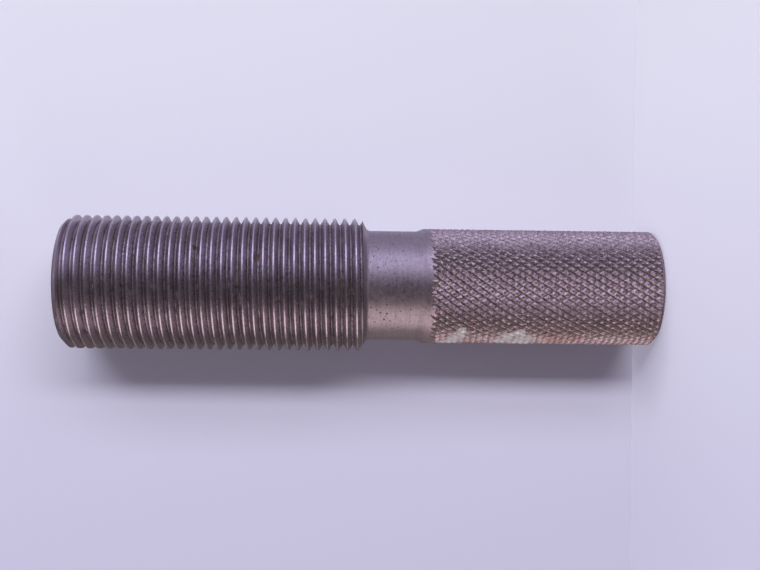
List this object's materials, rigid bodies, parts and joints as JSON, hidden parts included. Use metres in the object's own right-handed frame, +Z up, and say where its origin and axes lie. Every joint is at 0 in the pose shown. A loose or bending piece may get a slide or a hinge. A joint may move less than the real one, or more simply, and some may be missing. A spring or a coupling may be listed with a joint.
{
  "type": "thread plug gauge",
  "caption": "One-piece steel thread plug gauge: a long ground screw thread on a plain neck, with a diamond-knurled handle to turn it into a threaded hole.",
  "frame": {"origin": "on the axis, in the plane of the handle's foot, on which the gauge stands", "axes": "+Z up the axis from the handle's foot to the thread's entry face; a full thread crest crosses the +X side 2.2 mm below that face"},
  "size_m": [0.0286, 0.0286, 0.1262],
  "materials": {
    "gauge_steel": "ground and turned tool steel, darkened by handling, with rust specks and dried deposit in the knurl"
  },
  "bodies": {
    "root": {"gauge_body": "gauge_steel"}
  },
  "joints": []
}
